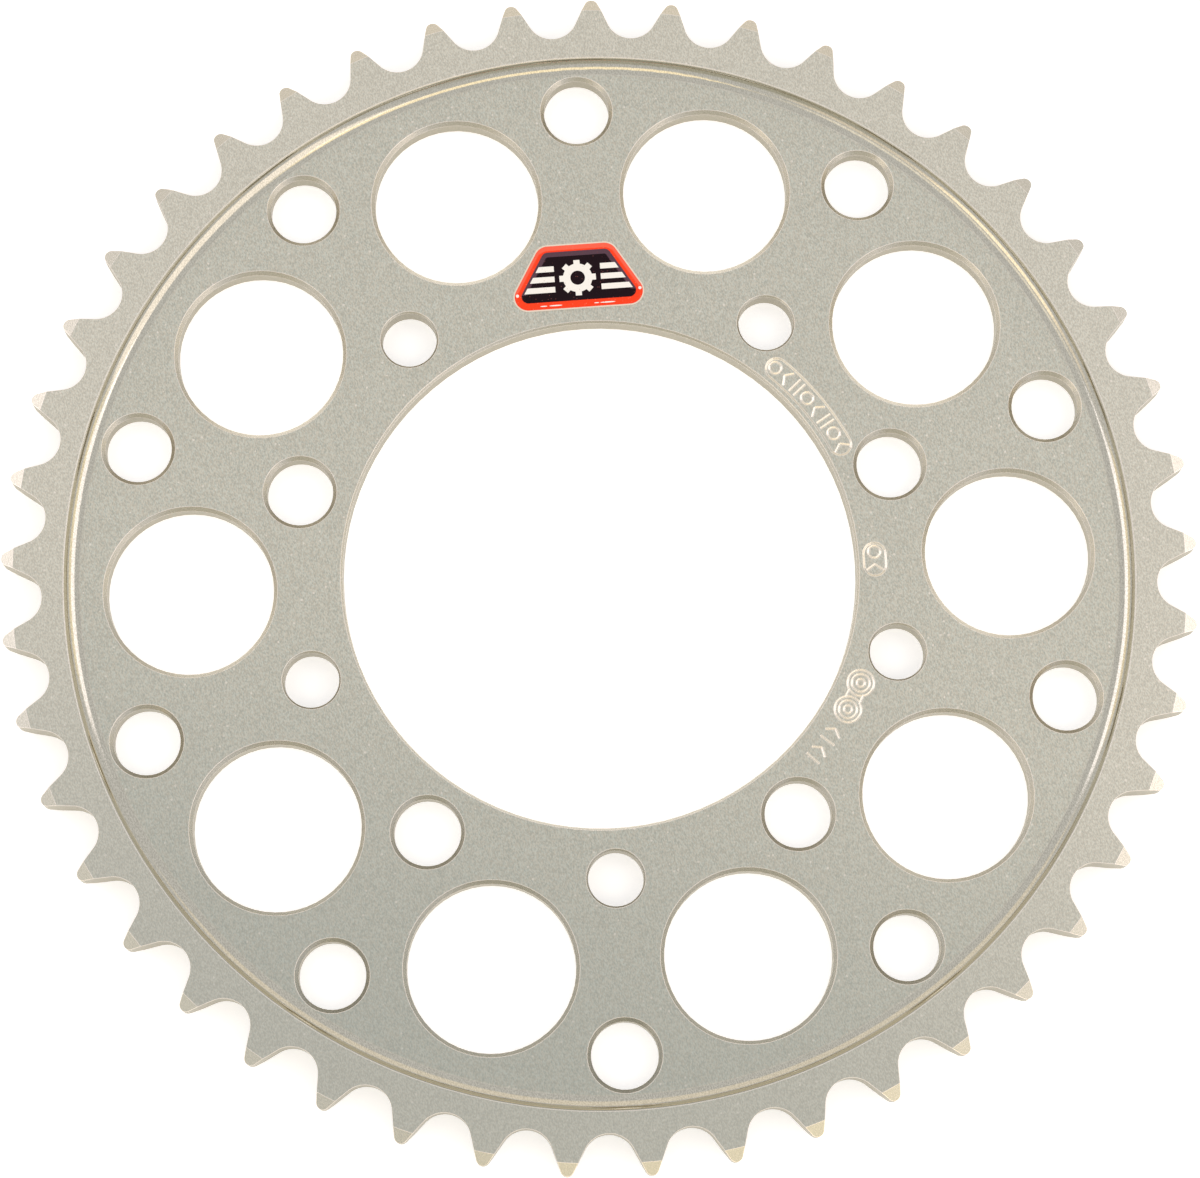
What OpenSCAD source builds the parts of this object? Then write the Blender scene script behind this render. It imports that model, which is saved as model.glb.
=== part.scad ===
// Rear sprocket for a motorcycle: one machined aluminium plate with a turned recess in its
// outer face, and a printed label stuck to that face.
// Origin: centre of the hub bore on the flat back face. +Z points out of the wheel, +Y at the
// label, and a tooth and a large lightening hole lie on +X. Millimetres.

/* [Chain and teeth] */
// Pitch of the roller chain
chain_pitch = 15.875; // [15:0.005:17]
// Diameter of the chain's rollers
roller_d = 10.16; // [9.6:0.01:10.6]
// Gap between a roller and the bottom of its seat
roller_gap = 0.06; // [0:0.01:0.2]
// Number of teeth
teeth = 45; // [43:1:52]
// Angle between a tooth gap's centre line and its straight flanks
flank_angle = 28; // [26:0.5:31]
// Radius of the round tip of a tooth
tip_round = 1.27; // [0.9:0.01:1.6]
// How far the turned bevel reaches down from the tip of a tooth
bevel_reach = 2.55; // [1:0.05:3.5]
// Angle between the bevel and the face of the tooth
bevel_angle = 30; // [15:1:40]

/* [Plate] */
// Thickness at the teeth
rim_thick = 7.2; // [6.5:0.1:8]
// Depth of the recess in the outer face
recess_depth = 2; // [0.5:0.1:3]
// Width of the raised rim, from its inner edge to the bottom of the tooth gaps
rim_width = 4.35; // [2.5:0.05:8]
// Radius of the cove between the recess and the rim
cove_r = 3.2; // [1:0.1:4]
// Edge break on the inner edge of the rim
rim_edge_break = 0.2; // [0.05:0.05:0.5]

/* [Hub] */
// Diameter of the bore that sits on the hub
bore_d = 100.5; // [90:0.5:106]
// Edge break of the bore
bore_chamfer = 0.45; // [0.1:0.05:1]
// Number of bolts; the rings of lightening holes follow it
bolt_count = 5; // [4:1:6]
// Diameter of a bolt hole
bolt_hole_d = 10.8; // [8.4:0.1:12]
// Distance from the edge of the bore to the bolt circle
bolt_inset = 9.75; // [8:0.05:11]
// Edge break of a bolt hole
bolt_chamfer = 0.35; // [0.1:0.05:1]

/* [Lightening holes] */
// Diameter of a large hole
large_hole_d = 32.5; // [26:0.5:34]
// Distance from the foot of the cove to the circle of the large holes
large_inset = 21.35; // [20:0.05:24]
// Diameter of a small outer hole
outer_hole_d = 13; // [8:0.5:14]
// Distance from the foot of the cove to the circle of the small outer holes
outer_inset = 7.45; // [7.3:0.05:10]
// Diameter of a small inner hole
inner_hole_d = 13; // [8:0.5:14]
// Distance from the edge of the bore to the circle of the small inner holes
inner_inset = 10.7; // [9:0.1:12]
// Edge break of the lightening holes
hole_chamfer = 0.75; // [0.1:0.05:1]

/* [Machined marks] */
// Distance from the edge of the bore to the nearer side of the marks
mark_inset = 1.2; // [1:0.1:2]
// Width of the two milled pockets, across the ring
pocket_width = 4.7; // [3:0.1:5]
// Depth of the two milled pockets
pocket_depth = 0.2; // [0.1:0.05:0.5]
// How far the sloping walls of the pockets reach in
pocket_wall = 0.4; // [0.1:0.05:0.6]
// Angle that the long pocket spans
long_pocket_span = 21; // [16:1:24]
// Angle that the short pocket spans
short_pocket_span = 2.4; // [2:0.1:6]
// Width of an engraved line at the surface
line_width = 0.45; // [0.2:0.05:0.6]
// Depth of an engraved line
line_depth = 0.1; // [0.1:0.05:0.4]
// Gap between the figures and the sides of a pocket
figure_margin = 0.75; // [0.4:0.05:1]

/* [Label] */
// Width of the label along its lower edge
label_width = 26; // [20:0.5:27]
// Height of the label, across the ring
label_height = 13.4; // [10:0.1:14]
// Distance from the edge of the bore to the label
label_inset = 3; // [2:0.1:5]
// Radius of the label's corners
label_corner = 3; // [1:0.1:4]
// Width of the clear edge outside the coloured border
label_margin = 0.3; // [0.1:0.05:0.6]
// Width of the coloured border
label_border_w = 1.35; // [0.5:0.05:2]
// Thickness of the label's base film
film_thick = 0.12; // [0.08:0.01:0.3]
// Thickness of each coloured layer
layer_thick = 0.06; // [0.04:0.01:0.15]

/* [Hidden] */

cut = 1;            // how far a cutting tool stands past the face it cuts
skim = 0.1;         // the same for the small tools that cut the marks
blend = 0.003;      // how far the cove is cut past its tangent, which keeps the crossing clean
flank_blend = 0.01; // the same where a straight flank leaves its round seat
smooth = 72;        // steps of a small round
round_steps = 180;  // steps of a large round

// Teeth
tooth_step = 360 / teeth;
pitch_r = chain_pitch / 2 / sin(tooth_step / 2);
seat_r = roller_d / 2 + roller_gap;
root_r = pitch_r - seat_r;
tooth_angle = flank_angle - tooth_step / 2; // between a tooth's centre line and its flanks
tip_centre_r = (pitch_r * sin(flank_angle) - seat_r - tip_round) / sin(tooth_angle);
tip_r = tip_centre_r + tip_round;
shoulder_r = norm([tip_centre_r + tip_round * sin(tooth_angle), tip_round * cos(tooth_angle)])
           + tip_round / 12;                // just outside the points where flanks meet tips
bevel_r = tip_r - bevel_reach;

// Plate
body_thick = rim_thick - recess_depth;
rim_r = root_r - rim_width;
cove_width = cove_r < recess_depth ? cove_r : sqrt(recess_depth * (2 * cove_r - recess_depth));
cove_foot_r = rim_r - cove_width;

// Holes
label_side = 90;                            // direction of the label's place, on +Y
bore_r = bore_d / 2;
bolt_circle_r = bore_r + bolt_inset;
bolt_step = 360 / bolt_count;
bolt_start = label_side - bolt_step / 2;    // the label's place lies between two bolts
inner_circle_r = bore_r + inner_inset;
ring_count = 2 * bolt_count;                // large holes, and small ones outside them
ring_step = 360 / ring_count;
large_circle_r = cove_foot_r - large_inset;
outer_circle_r = cove_foot_r - outer_inset;

// Marks
mark_r = bore_r + mark_inset + pocket_width / 2;
figure_height = pocket_width - 2 * figure_margin;
figure_spread = 0.8;                        // the outer figures stand past the ends' centres by this
long_pocket_at = 36.2;
long_figures = 8;
short_pocket_at = 0;
short_figures = 2;
ring_mark_r = figure_height * 0.375;
bar_gap = figure_height * 0.4;              // between the two bars of a figure
engraved_r = mark_r + figure_height * 0.4;  // the marks outside the pockets stand further out
link_at = -29.2;                            // the engraved chain link
link_ring_r = figure_height * 0.8;
link_groove_r = link_ring_r * 0.68;
link_pin_r = link_ring_r * 0.3;
link_length = link_ring_r * 2.26;           // between the link's two pins
link_waist = link_ring_r * 0.58;            // half the width of its waist
tally_at = -41;                             // the engraved tally beside it
tally_count = 4;
tally_step = 2.35;

// Label
label_at = label_side + 1.4;                // it is stuck on by hand, a little off centre
label_base_r = bore_r + label_inset;
label_top_share = 0.56;                     // width of the upper edge over the lower one
film_z = body_thick;
border_z = film_z + film_thick;
ground_z = border_z + layer_thick;
emblem_z = ground_z + layer_thick;
cog_teeth = 8;
cog_r = label_height * 0.27;
wing_height = label_height * 0.085;
wing_gap = wing_height * 0.85;
wing_margin = 0.45;                         // dark ground left between a wing and the border
emblem_up = label_height * 0.46;            // from the label's lower edge to the cog's centre

// Places a shape at an angle round the axis and a distance from it
module around(angle, distance) {
    rotate([0, 0, angle]) translate([distance, 0, 0]) children();
}

// One gap between two teeth, drawn with the roller's centre at the origin
module tooth_gap() {
    circle(r = seat_r, $fn = smooth);
    foot = seat_r - flank_blend;
    reach = tip_r - pitch_r + cut;
    foot_x = -foot * sin(flank_angle);
    foot_y = foot * cos(flank_angle);
    reach_y = foot_y + (reach - foot_x) * tan(flank_angle);
    polygon([[foot_x, -foot_y], [reach, -reach_y], [reach, reach_y], [foot_x, foot_y]]);
}

// Outline of the teeth
module tooth_outline() {
    difference() {
        union() {
            circle(r = shoulder_r, $fn = round_steps * 2);
            for (i = [0 : teeth - 1])
                around(i * tooth_step, tip_centre_r) circle(r = tip_round, $fn = smooth);
        }
        for (i = [0 : teeth - 1])
            around((i + 0.5) * tooth_step, pitch_r) tooth_gap();
    }
}

// Half section of the plate: bevels at the tips, the raised rim, its cove and the recess
module plate_section() {
    outer_r = tip_r + cut;
    drop = (outer_r - bevel_r) * tan(bevel_angle);
    difference() {
        polygon([[0, 0], [bevel_r, 0], [outer_r, drop], [outer_r, rim_thick - drop],
                 [bevel_r, rim_thick], [0, rim_thick]]);
        translate([-cut, body_thick]) square([cove_foot_r + cut, recess_depth + cut]);
        translate([cove_foot_r, body_thick]) intersection() {
            translate([0, cove_r - blend]) circle(r = cove_r, $fn = smooth);
            translate([-cove_r, 0]) square([2 * cove_r, recess_depth + cut]);
        }
        translate([rim_r, rim_thick]) polygon([[-cut, -rim_edge_break - cut], [-cut, cut],
                                               [rim_edge_break + cut, cut]]);
        if (cove_r < recess_depth)          // a small cove leaves an upright wall above it
            translate([cove_foot_r - cut, body_thick + cove_r - blend])
                square([cove_r + cut, recess_depth]);
    }
}

// A through hole with both its edges broken, from the back face to the recess
module through_hole(diameter, chamfer) {
    r = diameter / 2;
    wide = r + chamfer + cut;
    rotate_extrude($fn = round_steps)
        polygon([[0, -cut], [wide, -cut], [r, chamfer], [r, body_thick - chamfer],
                 [wide, body_thick + cut], [0, body_thick + cut]]);
}

// Section of an engraving cutter: its point at the depth of a line, its sides at the line's edges
module cutter_section() {
    top = line_width / 2 * (1 + skim / line_depth);
    polygon([[0, -line_depth], [top, skim], [-top, skim]]);
}

// A straight engraved line along Y
module line(length) {
    translate([0, length / 2, 0]) rotate([90, 0, 0])
        linear_extrude(length) cutter_section();
}

// A round engraved line
module ring_line(r) {
    rotate_extrude($fn = smooth) translate([r, 0]) cutter_section();
}

// Two strokes that meet in a point, which points along +Y
module chevron() {
    stroke = figure_height / 2 / cos(35);
    for (side = [-1, 1])
        rotate([0, 0, side * 55]) translate([0, -stroke / 2, 0]) line(stroke);
}

// One of three plain figures: a chevron, a ring or two bars
module figure(kind) {
    if (kind == 0) translate([0, figure_height / 6, 0]) chevron();
    if (kind == 1) ring_line(ring_mark_r);
    if (kind == 2)
        for (side = [-1, 1])
            translate([0, side * bar_gap / 2, 0]) rotate([0, 0, 90]) line(figure_height);
}

// Points round a pocket that bends with the plate, widened by grow on every side
function pocket_outline(span, grow) =
    let (half = pocket_width / 2 + grow, steps = 24)
    concat(
        [for (i = [0 : steps]) let (a = span * (i / steps - 0.5)) (mark_r + half) * [cos(a), sin(a)]],
        [for (i = [1 : steps / 2 - 1]) let (a = span / 2, turn = a + i * 360 / steps)
            mark_r * [cos(a), sin(a)] + half * [cos(turn), sin(turn)]],
        [for (i = [0 : steps]) let (a = span * (0.5 - i / steps)) (mark_r - half) * [cos(a), sin(a)]],
        [for (i = [1 : steps / 2 - 1]) let (a = -span / 2, turn = 180 + a + i * 360 / steps)
            mark_r * [cos(a), sin(a)] + half * [cos(turn), sin(turn)]]);

// A shallow milled pocket with sloping walls
module pocket(span) {
    low = pocket_outline(span, -pocket_wall);
    high = pocket_outline(span, skim * pocket_wall / pocket_depth);
    n = len(low);
    polyhedron(
        points = concat([for (p = low) [p[0], p[1], -pocket_depth]], [for (p = high) [p[0], p[1], skim]]),
        faces = concat([[for (i = [n - 1 : -1 : 0]) n - 1 - i]], [[for (i = [0 : n - 1]) 2 * n - 1 - i]],
                       [for (i = [0 : n - 1]) [i, n + i, n + (i + 1) % n, (i + 1) % n]]));
}

// A pocket with a row of figures cut into its floor
module marked_pocket(at, span, figures) {
    rotate([0, 0, at]) pocket(span);
    for (i = [0 : figures - 1])
        around(at + (i / (figures - 1) - 0.5) * (span + figure_spread), mark_r)
            translate([0, 0, -pocket_depth]) figure(i % 3);
}

// Everything cut into the outer face, with that face at z = 0
module marks() {
    marked_pocket(long_pocket_at, long_pocket_span, long_figures);
    marked_pocket(short_pocket_at, short_pocket_span, short_figures);
    around(link_at, engraved_r)
        for (side = [-1, 1]) {
            translate([0, side * link_length / 2, 0])
                for (r = [link_ring_r, link_groove_r, link_pin_r]) ring_line(r);
            translate([side * link_waist, 0, 0])
                line(link_length - 2 * sqrt(pow(link_ring_r, 2) - pow(link_waist, 2)) + line_width / 2);
        }
    for (i = [0 : tally_count - 1])
        around(tally_at + (i - (tally_count - 1) / 2) * tally_step, engraved_r)
            if (i % 2 == 0) rotate([0, 0, 90]) line(figure_height);
            else figure(0);
}

// The machined plate
module sprocket() {
    color([0.76, 0.75, 0.69])
    difference() {
        intersection() {
            linear_extrude(rim_thick) tooth_outline();
            rotate_extrude($fn = round_steps) plate_section();
        }
        through_hole(bore_d, bore_chamfer);
        for (i = [0 : bolt_count - 1])
            around(bolt_start + i * bolt_step, bolt_circle_r)
                through_hole(bolt_hole_d, bolt_chamfer);
        for (i = [1 : bolt_count - 1])      // the place between the first two bolts holds the label
            around(bolt_start + (i + 0.5) * bolt_step, inner_circle_r)
                through_hole(inner_hole_d, hole_chamfer);
        for (i = [0 : ring_count - 1]) {
            around(bolt_start + i * ring_step, outer_circle_r)
                through_hole(outer_hole_d, hole_chamfer);
            around(bolt_start + (i + 0.5) * ring_step, large_circle_r)
                through_hole(large_hole_d, hole_chamfer);
        }
        translate([0, 0, body_thick]) marks();
    }
}

// Outline of the label, drawn in from its edge by inset, with +X away from the bore
module label_outline(inset) {
    half = label_width / 2 - label_corner;
    top = label_height - label_corner;
    translate([label_base_r, 0]) offset(r = label_corner - inset, $fn = smooth)
        polygon([[label_corner, -half], [top, -half * label_top_share],
                 [top, half * label_top_share], [label_corner, half]]);
}

// Half the label's width at a height above its lower edge, drawn in from its edge by inset
function label_half(up, inset) =
    let (half = label_width / 2 - label_corner,
         slope = half * (1 - label_top_share) / (label_height - 2 * label_corner))
    half - slope * (up - label_corner) + (label_corner - inset) * norm([1, slope]);

// One layer of the label
module label_layer(z, thick, inset) {
    rotate([0, 0, label_at]) translate([0, 0, z]) linear_extrude(thick) label_outline(inset);
}

// The label's film, which is stuck to the plate and shows as a clear edge
module label_film() {
    color([0.90, 0.89, 0.84]) label_layer(film_z, film_thick, 0);
}

// The coloured border
module label_border() {
    color([1.0, 0.28, 0.15]) label_layer(border_z, layer_thick, label_margin);
}

// The dark ground inside the border
module label_ground() {
    color([0.14, 0.08, 0.11]) label_layer(ground_z, layer_thick, label_margin + label_border_w);
}

// The white emblem: a cog between two wings of three bars
module label_emblem() {
    inset = label_margin + label_border_w + wing_margin;
    color([0.98, 0.97, 0.95])
    rotate([0, 0, label_at]) translate([label_base_r, 0, emblem_z])
    linear_extrude(layer_thick) {
        translate([emblem_up, 0]) difference() {
            union() {
                circle(r = cog_r * 0.8, $fn = smooth);
                for (i = [0 : cog_teeth - 1])
                    rotate(i * 360 / cog_teeth) translate([0, -cog_r * 0.17])
                        square([cog_r, cog_r * 0.34]);
            }
            circle(r = cog_r * 0.4, $fn = smooth);
        }
        for (side = [-1, 1], bar = [-1, 0, 1]) {
            low = emblem_up + bar * (wing_height + wing_gap) - wing_height / 2;
            high = low + wing_height;
            polygon([[low, side * (cog_r + wing_gap)], [high, side * (cog_r + wing_gap)],
                     [high, side * label_half(high, inset)], [low, side * label_half(low, inset)]]);
        }
    }
}

sprocket();
label_film();
label_border();
label_ground();
label_emblem();
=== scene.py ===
import math

import bmesh
import bpy
from mathutils import Matrix, Vector


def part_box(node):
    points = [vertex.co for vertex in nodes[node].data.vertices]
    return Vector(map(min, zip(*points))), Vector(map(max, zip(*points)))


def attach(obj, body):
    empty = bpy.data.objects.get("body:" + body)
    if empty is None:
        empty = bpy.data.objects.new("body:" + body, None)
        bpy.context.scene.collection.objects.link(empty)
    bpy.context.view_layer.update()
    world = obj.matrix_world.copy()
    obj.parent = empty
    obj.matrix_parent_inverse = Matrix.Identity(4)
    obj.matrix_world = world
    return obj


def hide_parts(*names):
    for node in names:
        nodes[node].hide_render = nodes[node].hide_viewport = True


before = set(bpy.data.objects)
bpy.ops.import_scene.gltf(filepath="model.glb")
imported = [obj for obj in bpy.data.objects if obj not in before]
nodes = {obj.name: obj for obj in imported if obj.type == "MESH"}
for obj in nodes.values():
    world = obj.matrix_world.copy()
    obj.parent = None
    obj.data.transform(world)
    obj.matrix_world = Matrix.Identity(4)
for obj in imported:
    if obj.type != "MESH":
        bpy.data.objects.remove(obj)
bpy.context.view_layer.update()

print("frame loaded:", ", ".join(sorted(nodes)))

# main measures of the plate, in metres
plate = {
    "face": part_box("label_film")[0].z,   # height of the recessed face
    "top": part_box("sprocket")[1].z,
    "rimInside": 0.1043,                 # inner edge of the raised rim
    "coveRadius": 0.0032,                # round between the recess and the rim
}
plate["recess"] = plate["top"] - plate["face"]
plate["coveFoot"] = plate["rimInside"] - math.sqrt(
    plate["recess"] * (2 * plate["coveRadius"] - plate["recess"]))


# short forms for building node trees
def addNode(tree, kind, **values):
    node = tree.nodes.new(kind)
    for name, value in values.items():
        setattr(node, name, value)
    return node


def feed(tree, source, target):          # joins a socket, or sets a plain value
    if hasattr(source, "is_output"):
        tree.links.new(source, target)
    else:
        target.default_value = source


def mathNode(tree, operation, *values, clamp=False):
    node = addNode(tree, "ShaderNodeMath", operation=operation, use_clamp=clamp)
    for socket, value in zip(node.inputs, values):
        feed(tree, value, socket)
    return node.outputs[0]


def ramp(tree, value, low, high):        # 0 at low, 1 at high, which can be the smaller one
    node = addNode(tree, "ShaderNodeMapRange", interpolation_type="SMOOTHSTEP")
    for title, source in (("Value", value), ("From Min", low), ("From Max", high)):
        feed(tree, source, node.inputs[title])
    return node.outputs["Result"]


mixSockets = {"FLOAT": (2, 0), "VECTOR": (4, 1), "RGBA": (6, 2)}     # first value in, and result


def mix(tree, amount, first, second, kind="RGBA"):       # first at an amount of 0, second at 1
    node = addNode(tree, "ShaderNodeMix", data_type=kind)
    valueIn, valueOut = mixSockets[kind]
    for index, source in ((0, amount), (valueIn, first), (valueIn + 1, second)):
        feed(tree, source, node.inputs[index])
    return node.outputs[valueOut]


def newMaterial(name):
    material = bpy.data.materials.new(name)
    material.use_nodes = True
    tree = material.node_tree
    return material, tree, tree.nodes["Principled BSDF"]


def newGroup(name, inputs=(), outputs=(), normals=()):       # inputs and outputs are numbers
    group = bpy.data.node_groups.new(name, "ShaderNodeTree")
    for titles, way, kind in ((inputs, "INPUT", "Float"), (outputs, "OUTPUT", "Float"),
                              (normals, "OUTPUT", "Vector")):
        for title in titles:
            group.interface.new_socket(title, in_out=way, socket_type="NodeSocket" + kind)
    return group, addNode(group, "NodeGroupInput"), addNode(group, "NodeGroupOutput")


def placeGroup(tree, group, **values):
    node = addNode(tree, "ShaderNodeGroup", node_tree=group)
    for title, value in values.items():
        feed(tree, value, node.inputs[title])
    return node


def linear(red, green, blue):            # a colour given as 0 to 255, as on a screen
    def channel(value):
        value /= 255
        return value / 12.92 if value <= 0.04045 else ((value + 0.055) / 1.055) ** 2.4
    return (channel(red), channel(green), channel(blue), 1)


noiseRange = (0.28, 0.72)                # part of the noise's range that is spread to 0 and 1


def buildGrain():                        # short streaks of two kinds, in object space
    group, given, result = newGroup("grain", ("Turn", "Length", "Width"), ("Light", "Warmth"))
    coord = addNode(group, "ShaderNodeTexCoord")
    turn = addNode(group, "ShaderNodeVectorRotate", rotation_type="Z_AXIS")
    feed(group, coord.outputs["Object"], turn.inputs["Vector"])
    feed(group, given.outputs["Turn"], turn.inputs["Angle"])
    size = addNode(group, "ShaderNodeCombineXYZ")
    feed(group, given.outputs["Length"], size.inputs["X"])
    feed(group, given.outputs["Width"], size.inputs["Y"])
    feed(group, given.outputs["Width"], size.inputs["Z"])
    scale = addNode(group, "ShaderNodeVectorMath", operation="DIVIDE")
    feed(group, turn.outputs[0], scale.inputs[0])
    feed(group, size.outputs[0], scale.inputs[1])
    for title, shift in (("Light", 0), ("Warmth", 31.7)):    # a shift makes another pattern
        move = addNode(group, "ShaderNodeVectorMath", operation="ADD")
        feed(group, scale.outputs[0], move.inputs[0])
        move.inputs[1].default_value = (shift, shift, shift)
        noise = addNode(group, "ShaderNodeTexNoise")
        noise.inputs["Scale"].default_value = 1
        noise.inputs["Detail"].default_value = 1
        feed(group, move.outputs[0], noise.inputs["Vector"])
        feed(group, ramp(group, noise.outputs[0], *noiseRange), result.inputs[title])
    return group


# where one finish passes into the next, and where painted shade and highlight lie, in metres or as
# a sine or cosine of the surface's lean
limits = {
    "rimGap": 0.00004,                   # the cove's finish ends this far inside the rim
    "coveFade": (-0.0002, 0.0004),       # and fades in round the cove's foot
    "coveDepth": 0.0001,                 # how far under the recessed face it still holds
    "coveSteep": (0.67, 0.77),           # the painted highlight on its upper part fades in between these leans
    "coveHighlightReach": 0.08,                  # and is strongest this far towards the side of painted shade
    "shadeSide": math.radians(256),       # painted shade: the metal's colour darkens towards this side
    "shadeReach": 0.11,                   # and the painted shade is darkest this far out
    "bevel": (0.6, 0.97),                # the teeth's bevels lie between these leans
    "level": (0.94, 0.999),              # level faces fade in between these
    "upright": (0.25, 0.05),             # and walls between these
    "wornAndLit": (0.9995, 0.985),             # an edge is painted bright, as bare metal and painted highlight, where its rounding turns this far
}


def buildTurnedPlate():                  # where on the turned plate a point lies
    group, _, result = newGroup(
        "turnedPlate", outputs=("Rim", "Cove", "Cove Highlight", "Level", "Upright", "Painted Shade", "Bevel"),
        normals=("Face Normal", "Cove Normal"))
    coord = addNode(group, "ShaderNodeTexCoord")
    place = addNode(group, "ShaderNodeSeparateXYZ")
    feed(group, coord.outputs["Object"], place.inputs[0])
    x, y, z = place.outputs
    squares = [mathNode(group, "MULTIPLY", side, side) for side in (x, y)]
    radius = mathNode(group, "SQRT", mathNode(group, "ADD", *squares))
    facing = addNode(group, "ShaderNodeSeparateXYZ")
    feed(group, coord.outputs["Normal"], facing.inputs[0])
    up = mathNode(group, "ABSOLUTE", facing.outputs[2])

    # the cove's normal leans inwards by an angle whose sine grows evenly from its foot
    sine = mathNode(group, "DIVIDE", mathNode(group, "SUBTRACT", radius, plate["coveFoot"]),
                    plate["coveRadius"], clamp=True)
    cosine = mathNode(group, "SQRT", mathNode(group, "SUBTRACT", 1,
                                              mathNode(group, "MULTIPLY", sine, sine)))
    lean = mathNode(group, "DIVIDE", mathNode(group, "MULTIPLY", sine, -1), radius)
    normal = addNode(group, "ShaderNodeCombineXYZ")
    feed(group, mathNode(group, "MULTIPLY", x, lean), normal.inputs["X"])
    feed(group, mathNode(group, "MULTIPLY", y, lean), normal.inputs["Y"])
    feed(group, cosine, normal.inputs["Z"])
    inside = mathNode(group, "LESS_THAN", radius, plate["rimInside"] - limits["rimGap"])
    outside = ramp(group, radius, *(plate["coveFoot"] + fade for fade in limits["coveFade"]))
    above = mathNode(group, "GREATER_THAN", z, plate["face"] - limits["coveDepth"])
    cove = mathNode(group, "MULTIPLY", mathNode(group, "MULTIPLY", inside, outside), above)

    # distance towards the side where shade is painted into the colour
    across = mathNode(group, "MULTIPLY_ADD", x, math.cos(limits["shadeSide"]),
                      mathNode(group, "MULTIPLY", y, math.sin(limits["shadeSide"])))
    # painted highlight on the cove's steep upper part
    paintedCoveLight = mathNode(group, "MULTIPLY", ramp(group, sine, *limits["coveSteep"]),
                     ramp(group, across, 0, limits["coveHighlightReach"]))
    rim = mathNode(group, "GREATER_THAN", radius, plate["rimInside"])
    steepest, levelest = limits["bevel"]
    sloping = mathNode(group, "MULTIPLY", mathNode(group, "GREATER_THAN", up, steepest),
                       mathNode(group, "LESS_THAN", up, levelest))
    for title, mask in (("Rim", rim), ("Cove", cove),
                        ("Cove Highlight", mathNode(group, "MULTIPLY", cove, paintedCoveLight)),
                        ("Level", ramp(group, up, *limits["level"])),
                        ("Upright", ramp(group, up, *limits["upright"])),
                        ("Painted Shade", ramp(group, across, 0, limits["shadeReach"])),
                        ("Bevel", mathNode(group, "MULTIPLY", rim, sloping))):
        feed(group, mask, result.inputs[title])

    # the face's normal points straight up, or straight down on the back
    level = addNode(group, "ShaderNodeCombineXYZ")
    upper = mathNode(group, "GREATER_THAN", facing.outputs[2], 0)
    feed(group, mathNode(group, "MULTIPLY_ADD", upper, 2, -1), level.inputs["Z"])
    for title, source in (("Cove Normal", normal), ("Face Normal", level)):
        inWorld = addNode(group, "ShaderNodeVectorTransform", vector_type="NORMAL",
                          convert_from="OBJECT", convert_to="WORLD")
        feed(group, source.outputs[0], inWorld.inputs[0])
        feed(group, inWorld.outputs[0], result.inputs[title])
    return group


edgeSamples = 8


def buildEdges():                        # masks every edge, for wear and painted highlight, and leans the normal over it a little
    group, given, result = newGroup("edges", ("Radius", "Lean"), ("Worn And Lit",), ("Normal",))
    rounded = addNode(group, "ShaderNodeBevel", samples=edgeSamples)
    feed(group, given.outputs["Radius"], rounded.inputs["Radius"])
    flat = addNode(group, "ShaderNodeNewGeometry")
    turned = addNode(group, "ShaderNodeVectorMath", operation="DOT_PRODUCT")
    feed(group, rounded.outputs[0], turned.inputs[0])
    feed(group, flat.outputs["Normal"], turned.inputs[1])
    leaning = mix(group, given.outputs["Lean"], flat.outputs["Normal"], rounded.outputs[0],
                  "VECTOR")
    feed(group, leaning, result.inputs["Normal"])
    feed(group, ramp(group, turned.outputs["Value"], *limits["wornAndLit"]), result.inputs["Worn And Lit"])
    return group


speckEdge = (0.36, 0.22)                 # a speck fades in between these shares of its cell


def buildSpecks():                       # sparse round specks, as in a coarse print
    group, given, result = newGroup("specks", ("Size", "Share"), ("Specks",))
    coord = addNode(group, "ShaderNodeTexCoord")
    cells = addNode(group, "ShaderNodeTexVoronoi")
    feed(group, coord.outputs["Object"], cells.inputs["Vector"])
    feed(group, mathNode(group, "DIVIDE", 1, given.outputs["Size"]), cells.inputs["Scale"])
    chance = addNode(group, "ShaderNodeSeparateColor")
    feed(group, cells.outputs["Color"], chance.inputs[0])
    chosen = mathNode(group, "LESS_THAN", chance.outputs[0], given.outputs["Share"])
    near = ramp(group, cells.outputs["Distance"], *speckEdge)
    feed(group, mathNode(group, "MULTIPLY", chosen, near), result.inputs["Specks"])
    return group


grain = buildGrain()
turnedPlate = buildTurnedPlate()
edges = buildEdges()
specks = buildSpecks()


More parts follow.
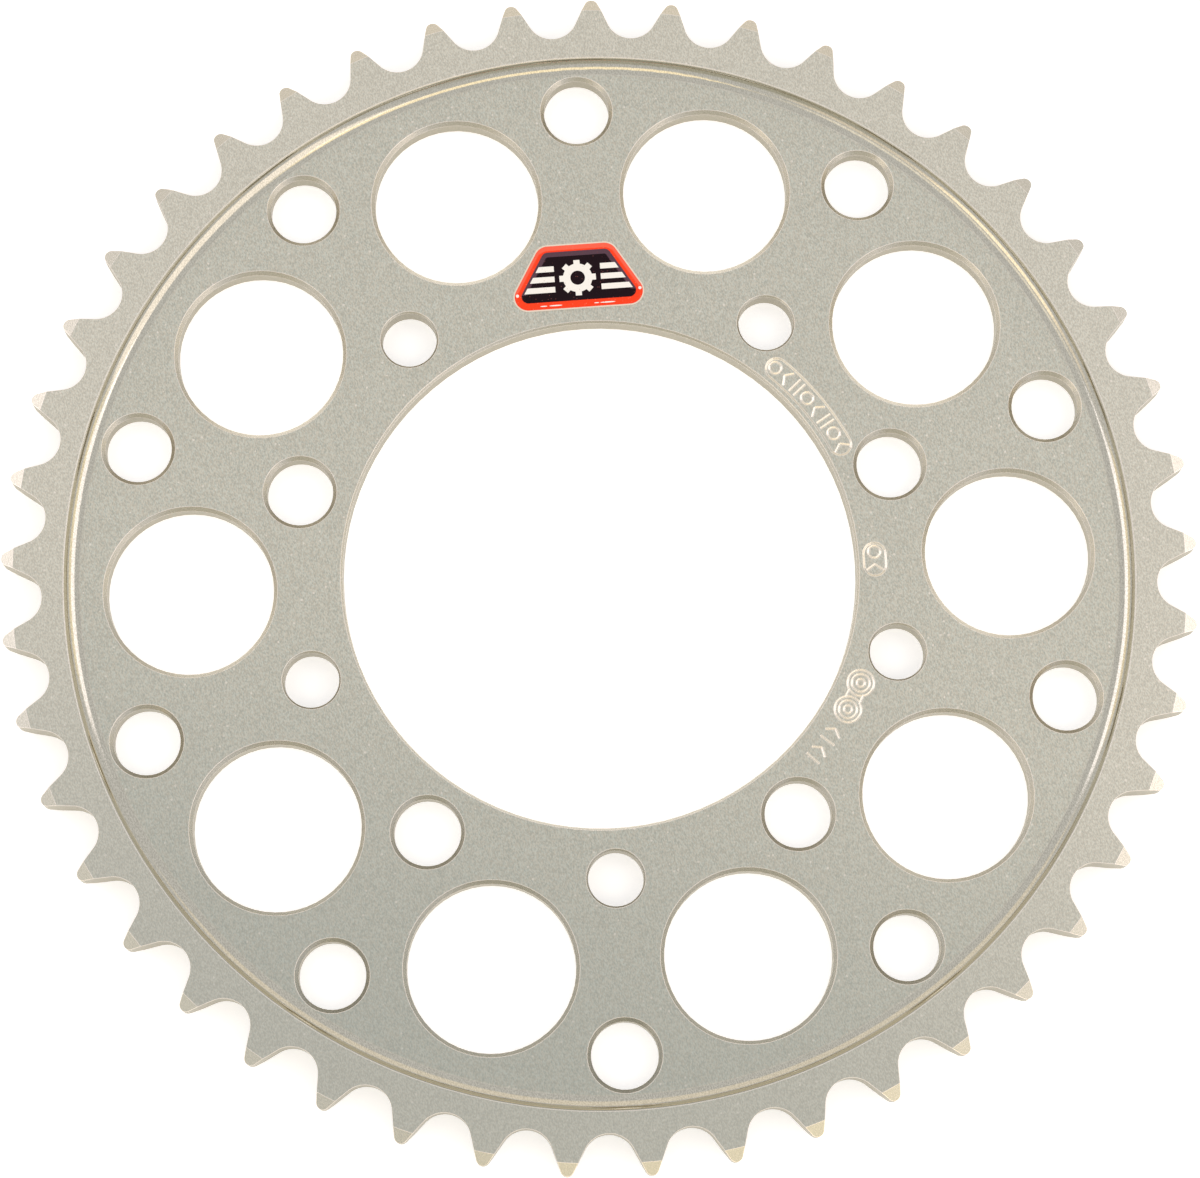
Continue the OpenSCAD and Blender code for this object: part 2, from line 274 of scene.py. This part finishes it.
metal = {
    "faceDark": linear(176, 178, 167),
    "faceLight": linear(210, 213, 202),
    "rimDark": linear(191, 190, 178),
    "rimLight": linear(226, 225, 212),
    "cutDark": linear(203, 197, 182),    # bevels and chamfers
    "cutLight": linear(217, 211, 196),
    "coveDark": linear(186, 182, 168),
    "coveLight": linear(208, 204, 190),
    "coveHighlight": linear(228, 220, 200),   # painted highlight on its steep upper part, towards the side of painted shade
    "warmth": linear(214, 202, 182),     # tint of the warmer grains
    "warmShare": 0.5,
    # painted shade: a darker, cooler colour towards one side of the plate, standing for a dim
    # reflection there
    "paintedShade": linear(134, 145, 144),
    "paintedShadeShare": 0.4,
    # painted shade: walls get a darker colour, standing for the dim floor that they mirror
    "wallDark": linear(160, 154, 136),
    "wallLight": linear(182, 176, 158),
    "bareAndHighlight": linear(252, 243, 232),   # bare metal where the anodising is thin, and painted highlight on edges and specks
    "edgeHighlightShare": 0.85,
    "roughFace": 0.45,
    "roughRim": 0.42,
    "roughCove": 0.12,                   # the cove is turned smooth
    "roughCut": 0.26,                    # bevels and chamfers
    "roughWall": 0.4,
    "edgeRound": 0.00018,
    "edgeLean": 0.22,
    "bevelCrown": 0.57,                  # how far the teeth's bevels are rounded over to the face
    "grainTurn": math.radians(-104),
    "grainLength": 0.00043,
    "grainWidth": 0.00023,
    "grainDepth": 0.000004,
    # painted glints: sparse bright specks on the face and rim
    "speckSize": 0.0008,
    "speckShare": 0.04,
    "speckGlint": 0.45,
    "coveCalm": 0.75,                    # share of the grain that the cove lacks
}


def makeMetal():
    material, tree, shader = newMaterial("anodisedPlate")
    where = placeGroup(tree, turnedPlate).outputs
    flecks = placeGroup(tree, grain, Turn=metal["grainTurn"], Length=metal["grainLength"],
                        Width=metal["grainWidth"]).outputs
    edge = placeGroup(tree, edges, Radius=metal["edgeRound"], Lean=metal["edgeLean"]).outputs

    face, rim, cut, cove, wall = [
        mix(tree, flecks["Light"], metal[part + "Dark"], metal[part + "Light"])
        for part in ("face", "rim", "cut", "cove", "wall")]
    colour = mix(tree, where["Rim"], face, rim)
    warm = mathNode(tree, "MULTIPLY", flecks["Warmth"], metal["warmShare"])
    colour = mix(tree, warm, colour, metal["warmth"])
    # painted glints: sparse specks of the bright bare colour
    dots = placeGroup(tree, specks, Size=metal["speckSize"],
                      Share=metal["speckShare"]).outputs["Specks"]
    glintAmount = mathNode(tree, "MULTIPLY", dots, metal["speckGlint"])
    colour = mix(tree, glintAmount, colour, metal["bareAndHighlight"])
    colour = mix(tree, where["Level"], cut, colour)
    # painted shade towards one side of the plate
    paintedShade = mathNode(tree, "MULTIPLY", where["Painted Shade"], metal["paintedShadeShare"])
    colour = mix(tree, paintedShade, colour, metal["paintedShade"])
    colour = mix(tree, where["Cove"], colour, cove)
    # painted highlight on the cove's steep upper part
    colour = mix(tree, where["Cove Highlight"], colour, metal["coveHighlight"])
    # painted shade on the walls
    colour = mix(tree, where["Upright"], colour, wall)
    edgeLightShare = mix(tree, where["Cove"], metal["edgeHighlightShare"], 0, "FLOAT")      # the cove gets no bright edges
    # edges painted bright, as wear and painted highlight
    bareAndLit = mathNode(tree, "MULTIPLY", edge["Worn And Lit"], edgeLightShare)
    feed(tree, mix(tree, bareAndLit, colour, metal["bareAndHighlight"]), shader.inputs["Base Color"])

    rough = mix(tree, where["Rim"], metal["roughFace"], metal["roughRim"], "FLOAT")
    rough = mix(tree, where["Level"], metal["roughCut"], rough, "FLOAT")
    rough = mix(tree, where["Upright"], rough, metal["roughWall"], "FLOAT")
    coveRough = mix(tree, where["Cove"], 1, metal["roughCove"], "FLOAT")
    feed(tree, mathNode(tree, "MINIMUM", rough, coveRough), shader.inputs["Roughness"])

    bump = addNode(tree, "ShaderNodeBump")
    bump.inputs["Distance"].default_value = metal["grainDepth"]
    height = mix(tree, where["Cove"], 1, 1 - metal["coveCalm"], "FLOAT")
    feed(tree, mathNode(tree, "MULTIPLY", flecks["Light"], height), bump.inputs["Height"])
    crowned = mix(tree, mathNode(tree, "MULTIPLY", where["Bevel"], metal["bevelCrown"]),
                  edge["Normal"], where["Face Normal"], "VECTOR")
    feed(tree, mix(tree, where["Cove"], crowned, where["Cove Normal"], "VECTOR"),
         bump.inputs["Normal"])
    feed(tree, bump.outputs[0], shader.inputs["Normal"])
    shader.inputs["Metallic"].default_value = 1
    return material


nodes["sprocket"].material_slots[0].material = makeMetal()
print("metal on the plate")


label = {
    "turn": math.radians(91.4),          # direction from the bore to the label
    "foot": 0.05325,                     # from the plate's centre to the label's lower edge
    "weldGap": 0.000001,                 # corners closer than this are one
    "flatAngle": math.radians(0.5),      # and faces that bend less than this are one
    "borderSteps": ((0.00012, 0.0001), (0.0002, 0.0001), (0.0003, 0.00008), (0.0004, 0.00004)),
    "groundSteps": ((0.00005, 0.00002), (0.00095, 0.00006)),     # step in, and rise
    "glintRise": 0.00001,
    "glintSides": 20,
    "glints": (                          # place up and along, then half length and half width
        (0.00085, 0.0071, 0.0007, 0.00011), (0.00085, 0.0047, 0.0013, 0.00013),
        (0.00085, -0.0034, 0.0005, 0.0001), (0.00085, -0.0056, 0.0015, 0.00013),
        (0.0033, 0.01215, 0.00032, 0.00032), (0.0033, -0.01215, 0.00032, 0.00032)),
    "speckSize": 0.0003,
    "patchSize": 0.0004,                 # of its glossier and duller patches
    "gloss": (0.2, 0.32),                # their roughness
    "specular": 0.12,
}

# where a layer's rounded edge leans up the label, its colour passes into a paler one, as print
# shading and as painted sheen
inks = {
    "labelFilm": {"colour": linear(226, 218, 202), "speck": linear(206, 198, 180), "share": 0.15},
    "labelRed": {"colour": linear(252, 66, 30), "speck": linear(255, 118, 92), "share": 0.1,
                 "upper": linear(253, 100, 76), "lean": (0.06, 0.12)},
    "labelBlack": {"colour": linear(24, 6, 14), "speck": linear(112, 62, 60), "share": 0.07,
                   "upper": linear(86, 62, 74), "lean": (0.03, 0.05)},
    "labelWhite": {"colour": linear(241, 238, 232), "speck": linear(196, 180, 170), "share": 0.06},
}


def makePrint(name):
    ink = inks[name]
    material, tree, shader = newMaterial(name)
    colour = ink["colour"]
    if "upper" in ink:                   # print shading and painted sheen where the surface leans up the label
        coord = addNode(tree, "ShaderNodeTexCoord")
        facing = addNode(tree, "ShaderNodeSeparateXYZ")
        feed(tree, coord.outputs["Normal"], facing.inputs[0])
        colour = mix(tree, ramp(tree, facing.outputs[1], *ink["lean"]), colour, ink["upper"])
    dots = placeGroup(tree, specks, Size=label["speckSize"], Share=ink["share"]).outputs["Specks"]
    feed(tree, mix(tree, dots, colour, ink["speck"]), shader.inputs["Base Color"])
    patches = placeGroup(tree, grain, Turn=0, Length=label["patchSize"],
                         Width=label["patchSize"]).outputs["Light"]
    feed(tree, mix(tree, patches, *label["gloss"], "FLOAT"), shader.inputs["Roughness"])
    shader.inputs["Specular IOR Level"].default_value = label["specular"]
    return material


def copyLayer(node, lift, steps=()):     # a layer of the label, its edge stepped up and rounded
    form = bmesh.new()
    form.from_mesh(nodes[node].data)
    bmesh.ops.remove_doubles(form, verts=form.verts, dist=label["weldGap"])
    bmesh.ops.dissolve_limit(form, angle_limit=label["flatAngle"], verts=form.verts,
                             edges=form.edges)
    bmesh.ops.translate(form, verts=form.verts, vec=(0, 0, lift))
    crown = max(form.faces, key=lambda face: face.calc_center_median().z)
    for inset, rise in steps:
        ring = bmesh.ops.inset_individual(form, faces=[crown], thickness=inset, depth=rise,
                                          use_even_offset=True)
        for face in ring["faces"]:
            face.smooth = True
    return form


def makeGlints(height):                  # painted highlights: small white dashes and dots on the border, as glints of its gloss
    form = bmesh.new()
    for up, along, halfLength, halfWidth in label["glints"]:
        place = (Matrix.Rotation(label["turn"], 4, "Z")
                 @ Matrix.Translation((label["foot"] + up, along, height))
                 @ Matrix.Diagonal((halfWidth, halfLength, 1, 1)))
        disc = bmesh.ops.create_circle(form, cap_ends=True, segments=label["glintSides"],
                                       radius=1, matrix=place)
        raised = bmesh.ops.extrude_face_region(form, geom=disc["verts"][0].link_faces[:])
        top = [part for part in raised["geom"] if isinstance(part, bmesh.types.BMVert)]
        bmesh.ops.translate(form, verts=top, vec=(0, 0, label["glintRise"]))
    bmesh.ops.recalc_face_normals(form, faces=form.faces)
    return form


def addPiece(name, form, material, node=None):
    mesh = bpy.data.meshes.new(name)
    form.to_mesh(mesh)
    form.free()
    mesh.materials.append(material)
    piece = bpy.data.objects.new(name, mesh)
    bpy.context.scene.collection.objects.link(piece)
    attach(piece, "root")
    if node:
        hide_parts(node)


borderRise = sum(rise for inset, rise in label["borderSteps"])
groundRise = sum(rise for inset, rise in label["groundSteps"])
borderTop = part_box("label_border")[1].z + borderRise
whitePrint = makePrint("labelWhite")
nodes["label_film"].material_slots[0].material = makePrint("labelFilm")
addPiece("labelBorder", copyLayer("label_border", 0, label["borderSteps"]),
         makePrint("labelRed"), "label_border")
addPiece("labelGround", copyLayer("label_ground", borderRise, label["groundSteps"]),
         makePrint("labelBlack"), "label_ground")
addPiece("labelEmblem", copyLayer("label_emblem", borderRise + groundRise),
         whitePrint, "label_emblem")
# painted highlights on the border, in the white ink
addPiece("labelGlints", makeGlints(borderTop), whitePrint)
print("label dressed, with its rounded border")


studio = {
    "floorColour": (0.9, 0.9, 0.9, 1),
    "floorRough": 0.9,
    "floorLift": 0.44,                   # white added to what a camera or a mirror sees of it
    "floorSize": 60,
    "floorHeight": -0.0001,
    "roomLevel": (0.80, 0.80, 0.82, 1),  # brightness of the room, as the metal mirrors it
    "frontLevel": (0.60, 0.58, 0.50, 1),  # of its darker side, low behind the camera
    "frontSide": math.radians(258),      # azimuth of that side
    "frontSpread": (0.75, 0.95),         # cosine of the angle to it, where it fades in
    "frontHeight": (0.5, 0.3),           # sine of the height angle, where it fades in
    "lampDistance": 1.5,
}


def makeFloor():
    form = bmesh.new()
    bmesh.ops.create_grid(form, x_segments=1, y_segments=1, size=studio["floorSize"] / 2)
    bmesh.ops.translate(form, verts=form.verts, vec=(0, 0, studio["floorHeight"]))
    mesh = bpy.data.meshes.new("floor")
    form.to_mesh(mesh)
    form.free()
    floor = bpy.data.objects.new("floor", mesh)
    bpy.context.scene.collection.objects.link(floor)
    material, tree, shader = newMaterial("paleFloor")
    shader.inputs["Base Color"].default_value = studio["floorColour"]
    shader.inputs["Roughness"].default_value = studio["floorRough"]
    shader.inputs["Specular IOR Level"].default_value = 0
    path = addNode(tree, "ShaderNodeLightPath")
    seen = mathNode(tree, "MAXIMUM", path.outputs["Is Camera Ray"],
                    mathNode(tree, "MAXIMUM", path.outputs["Is Glossy Ray"],
                             path.outputs["Is Transmission Ray"]))
    shader.inputs["Emission Color"].default_value = (1, 1, 1, 1)
    feed(tree, mathNode(tree, "MULTIPLY", seen, studio["floorLift"]),
         shader.inputs["Emission Strength"])
    mesh.materials.append(material)


# each lamp stands at an azimuth from +X and a height angle, in degrees, and faces the plate;
# its size is a width and a height in metres, and its glow the brightness of its face
lamps = {
    "back": {"azimuth": 90, "height": 27, "size": (2.5, 1),
             "glow": 0.3, "colour": (1, 0.73, 0.33)},
    "leftBank": {"azimuth": 159, "height": 43, "size": (0.78, 0.62),
                 "glow": 1.1, "colour": (1, 0.93, 1)},
    "leftLow": {"azimuth": 163, "height": 23, "size": (0.8, 0.5),
                "glow": 0.45, "colour": (1, 0.67, 0.11)},
    "leftFrontLow": {"azimuth": 207, "height": 30, "size": (0.52, 0.62),
                     "glow": 0.8, "colour": (1, 0.82, 0.52)},
    "leftFront": {"azimuth": 214, "height": 32, "size": (1.3, 0.5),
                  "glow": 0.35, "colour": (1, 0.69, 0.29)},
    "rightBank": {"azimuth": 10, "height": 45, "size": (0.74, 0.72),
                  "glow": 1.1, "colour": (1, 0.91, 0.95)},
    "rightLow": {"azimuth": 5, "height": 23, "size": (0.8, 0.5),
                 "glow": 0.5, "colour": (1, 0.72, 0.16)},
    "rightFront": {"azimuth": -34, "height": 38, "size": (1.05, 1.15),
                   "glow": 0.84, "colour": (1, 0.86, 0.75)},
    "leftHigh": {"azimuth": 212, "height": 56, "size": (0.8, 0.36),
                 "glow": 0.5, "colour": (1, 0.85, 0.6)},
    "front": {"azimuth": -76, "height": 62, "size": (0.88, 0.44),
              "glow": 0.95, "colour": (1, 0.76, 0.34)},
}


def addLamp(name, azimuth, height, size, glow, colour):
    light = bpy.data.lights.new(name, "AREA")
    light.shape = "RECTANGLE"
    light.size, light.size_y = size
    light.energy = glow * math.pi * size[0] * size[1]
    light.color = colour
    lamp = bpy.data.objects.new(name, light)
    turn, lift = math.radians(azimuth), math.radians(height)
    lamp.location = studio["lampDistance"] * Vector((
        math.cos(turn) * math.cos(lift), math.sin(turn) * math.cos(lift), math.sin(lift)))
    lamp.rotation_euler = (-lamp.location).to_track_quat("-Z", "Y").to_euler()
    bpy.context.scene.collection.objects.link(lamp)


def makeWorld():
    world = bpy.data.worlds.new("studioRoom")
    world.use_nodes = True
    bpy.context.scene.world = world
    tree = world.node_tree
    background = tree.nodes["Background"]
    coord = addNode(tree, "ShaderNodeTexCoord")
    side = addNode(tree, "ShaderNodeSeparateXYZ")
    feed(tree, coord.outputs["Generated"], side.inputs[0])
    x, y, z = side.outputs
    towards = mathNode(tree, "MULTIPLY_ADD", x, math.cos(studio["frontSide"]),
                       mathNode(tree, "MULTIPLY", y, math.sin(studio["frontSide"])))
    front = mathNode(tree, "MULTIPLY", ramp(tree, towards, *studio["frontSpread"]),
                     ramp(tree, z, *studio["frontHeight"]))
    feed(tree, mix(tree, front, studio["roomLevel"], studio["frontLevel"]),
         background.inputs["Color"])


view = {
    "place": (-0.0155, -0.13771, 0.72355),
    "tilt": math.radians(10.641),
    "lean": math.radians(-0.687),
    "turn": math.radians(-2.78),
    "lens": 112.4,
    "sensor": 36,
    "nearest": 0.01,
}


def makeCamera():
    camera = bpy.data.objects.new("camera", bpy.data.cameras.new("camera"))
    camera.data.lens = view["lens"]
    camera.data.sensor_width = view["sensor"]
    camera.data.clip_start = view["nearest"]
    camera.location = view["place"]
    camera.rotation_euler = (Matrix.Rotation(view["turn"], 3, "Z")
                             @ Matrix.Rotation(view["tilt"], 3, "X")
                             @ Matrix.Rotation(view["lean"], 3, "Y")).to_euler()
    bpy.context.scene.collection.objects.link(camera)
    bpy.context.scene.camera = camera


makeFloor()
makeWorld()
for name, values in lamps.items():
    addLamp(name, **values)
makeCamera()
bpy.context.scene.view_settings.view_transform = "Standard"
print("floor, lamps and camera placed")
